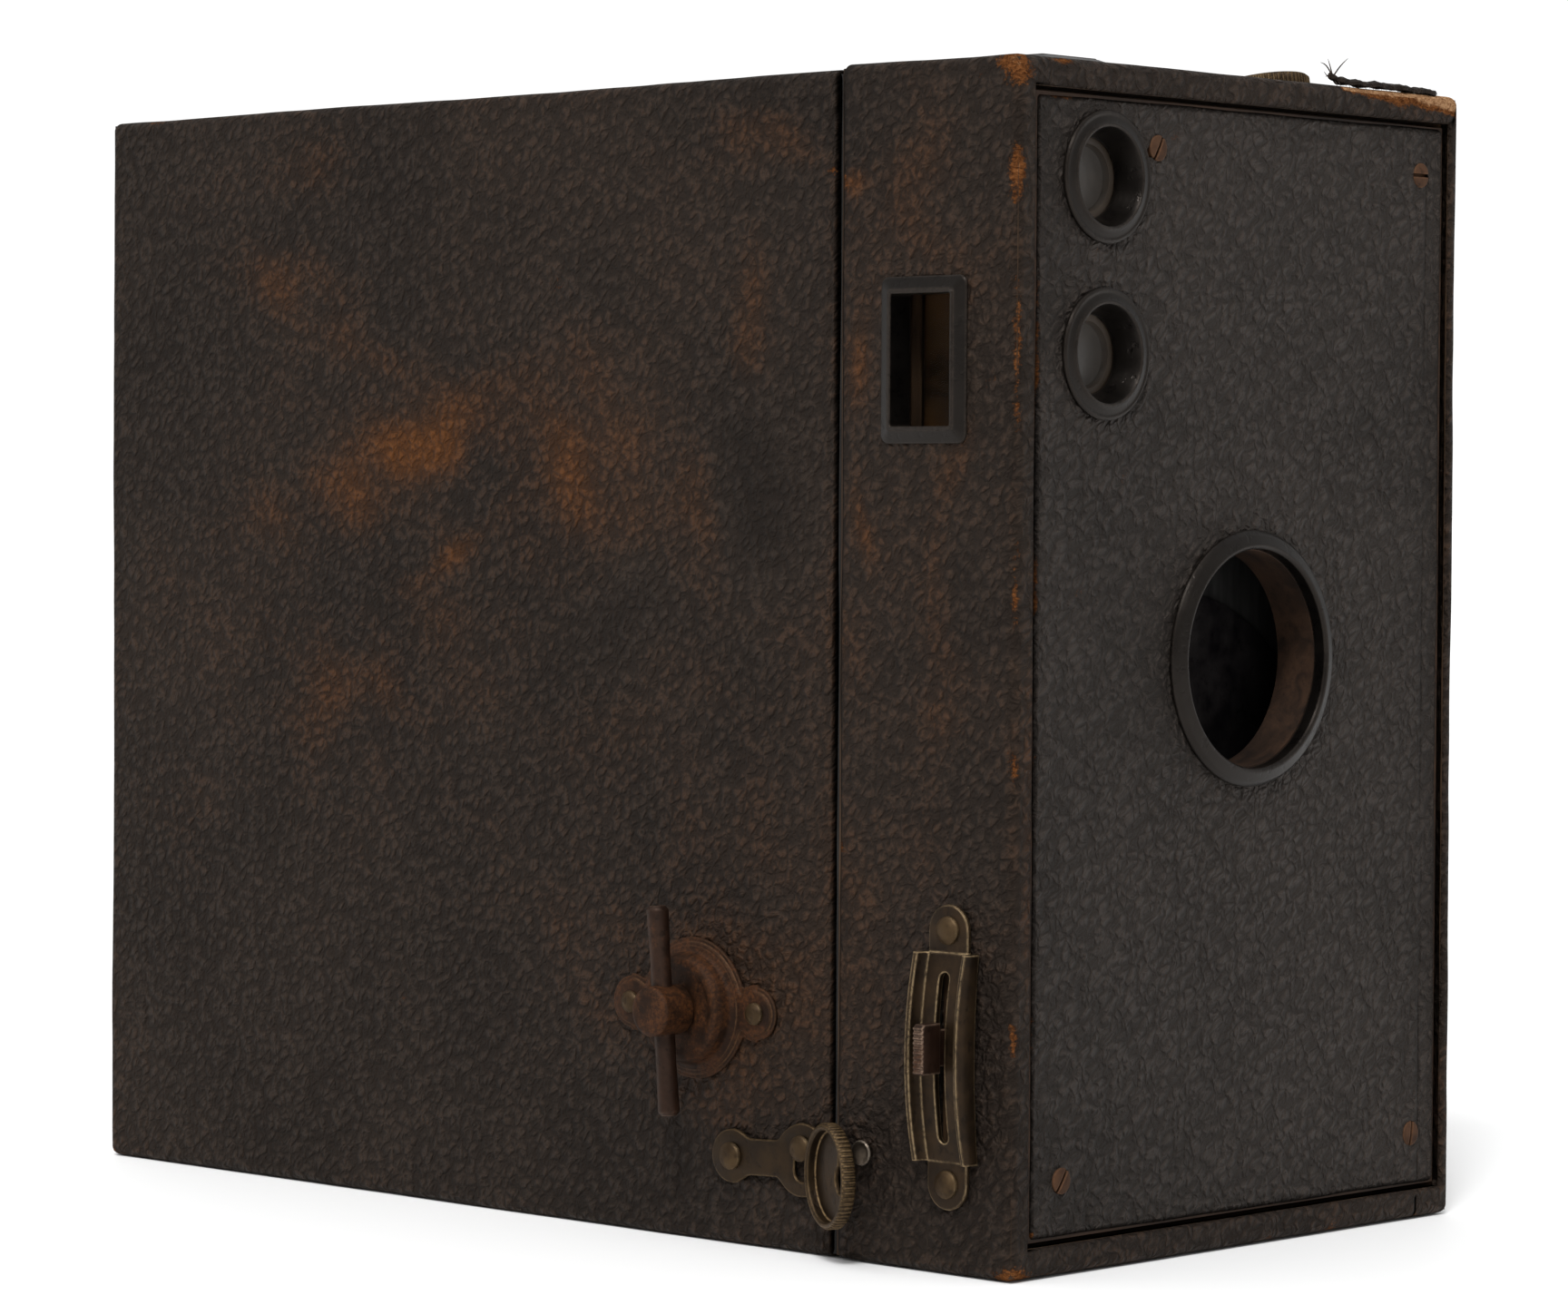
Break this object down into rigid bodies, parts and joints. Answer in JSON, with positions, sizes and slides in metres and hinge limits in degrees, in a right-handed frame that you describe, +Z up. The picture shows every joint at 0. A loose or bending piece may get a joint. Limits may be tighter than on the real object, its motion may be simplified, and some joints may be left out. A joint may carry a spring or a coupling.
{
  "type": "box camera",
  "caption": "Leatherette-covered box camera whose front section, with lens, finders and film carrier, slides out of the rear box; winding key, shutter lever and spring latches.",
  "frame": {"origin": "middle of the base of the closed camera", "axes": "+Z up, lens looks along -Y, winding key on the -X side"},
  "size_m": [0.0874, 0.1553, 0.1363],
  "materials": {
    "leatherette": "satin pebbled",
    "panel_leatherette": "satin pebbled",
    "board": "raw",
    "black_board": "matt black",
    "black_metal": "satin",
    "aged_brass": "aged",
    "aged_nickel": "aged",
    "rusty_steel": "rusty",
    "bright_steel": "satin",
    "spool_wood": "turned",
    "strap_leather": "worn",
    "clear_glass": "polished",
    "ground_glass": "ground",
    "red_glass": "polished",
    "mirror_glass": "aged"
  },
  "bodies": {
    "rear_box": {"rear_shell": "board", "rear_covering": "leatherette", "red_window": "red_glass", "red_window_ring": "black_metal", "base_tripod_bush": "aged_nickel", "side_tripod_bush": "aged_nickel", "key_escutcheon": "rusty_steel", "escutcheon_rivets": "aged_brass", "latch_rivets": "aged_brass", "carrying_strap": "strap_leather", "strap_keepers": "aged_nickel", "strap_rivets": "aged_nickel"},
    "key_washer": {"key_washer": "bright_steel"},
    "winding_key": {"key_hub": "rusty_steel", "key_crossbar": "rusty_steel"},
    "side_latch": {"side_latch": "aged_brass"},
    "top_latch": {"top_latch": "aged_brass"},
    "front_section": {"front_shell": "board", "front_covering": "leatherette", "front_panel": "board", "panel_covering": "panel_leatherette", "panel_screws": "black_metal", "lens_bezel": "black_metal", "upper_finder_ring": "black_metal", "lower_finder_ring": "black_metal", "upper_finder_lens": "clear_glass", "lower_finder_lens": "clear_glass", "side_window_frame": "black_metal", "top_window_frame": "black_metal", "side_window_glass": "ground_glass", "top_window_glass": "ground_glass", "upper_finder_mirror": "mirror_glass", "lower_finder_mirror": "mirror_glass", "finder_partition": "board", "lever_plate": "aged_nickel", "lever_plate_rivets": "aged_brass", "lever_post": "bright_steel", "shutter_post": "bright_steel", "shutter_board": "black_board", "lens_cell": "black_metal", "meniscus_lens": "clear_glass", "latch_studs": "bright_steel", "light_cone": "black_board", "film_gate": "black_metal", "roller_axles": "bright_steel", "spool_brackets": "black_metal", "spool_pins": "bright_steel"},
    "shutter_lever": {"shutter_lever": "aged_nickel"},
    "shutter_disc": {"shutter_disc": "black_metal", "shutter_spring": "bright_steel"},
    "stop_slide": {"stop_slide": "black_metal"},
    "time_slide": {"time_slide": "black_metal"},
    "takeup_spool": {"takeup_spool_core": "spool_wood", "takeup_spool_flanges": "black_metal"},
    "supply_spool": {"supply_spool_core": "spool_wood", "supply_spool_flanges": "black_metal"},
    "upper_roller": {"upper_film_roller": "bright_steel"},
    "lower_roller": {"lower_film_roller": "bright_steel"}
  },
  "joints": [
    {"name": "key_spin", "type": "hinge", "parent": "rear_box", "child": "key_washer", "pos_m": [-0.0396, -0.0287, 0.0266], "axis": [-1, 0, 0], "continuous": true},
    {"name": "key_pull", "type": "slide", "parent": "key_washer", "child": "winding_key", "axis": [-1, 0, 0], "range_m": [0, 0.0045]},
    {"name": "side_latch_swing", "type": "hinge", "parent": "rear_box", "child": "side_latch", "pos_m": [-0.0396, -0.035, 0.0102], "axis": [-1, 0, 0], "range_deg": [0, 13.6]},
    {"name": "top_latch_swing", "type": "hinge", "parent": "rear_box", "child": "top_latch", "pos_m": [0.032, -0.035, 0.1325], "axis": [0, 0, 1], "range_deg": [0, 13.6]},
    {"name": "front_slide", "type": "slide", "parent": "rear_box", "child": "front_section", "axis": [0, -1, 0], "range_m": [0, 0.125]},
    {"name": "lever_swing", "type": "hinge", "parent": "front_section", "child": "shutter_lever", "pos_m": [-0.005, -0.0681, 0.024], "axis": [0, -1, 0], "range_deg": [-8.6, 12.5]},
    {"name": "disc_spin", "type": "hinge", "parent": "front_section", "child": "shutter_disc", "pos_m": [0.0016, -0.06465, 0.047], "axis": [0, -1, 0], "range_deg": [-75.1, 51.7]},
    {"name": "stop_pull", "type": "slide", "parent": "front_section", "child": "stop_slide", "axis": [0, 0, 1], "range_m": [0, 0.026]},
    {"name": "time_pull", "type": "slide", "parent": "front_section", "child": "time_slide", "axis": [0, 0, 1], "range_m": [0, 0.008]},
    {"name": "takeup_spin", "type": "hinge", "parent": "front_section", "child": "takeup_spool", "pos_m": [0, -0.0287, 0.0266], "axis": [-1, 0, 0], "continuous": true},
    {"name": "supply_spin", "type": "hinge", "parent": "front_section", "child": "supply_spool", "pos_m": [0, -0.0287, 0.1064], "axis": [-1, 0, 0], "continuous": true},
    {"name": "upper_roller_spin", "type": "hinge", "parent": "front_section", "child": "upper_roller", "pos_m": [0, 0.066, 0.12525], "axis": [1, 0, 0], "continuous": true},
    {"name": "lower_roller_spin", "type": "hinge", "parent": "front_section", "child": "lower_roller", "pos_m": [0, 0.066, 0.00725], "axis": [1, 0, 0], "continuous": true}
  ],
  "couplings": [
    {"joint": "disc_spin", "follows": "lever_swing", "ratio": -6},
    {"joint": "key_spin", "follows": "takeup_spin", "ratio": 1}
  ]
}
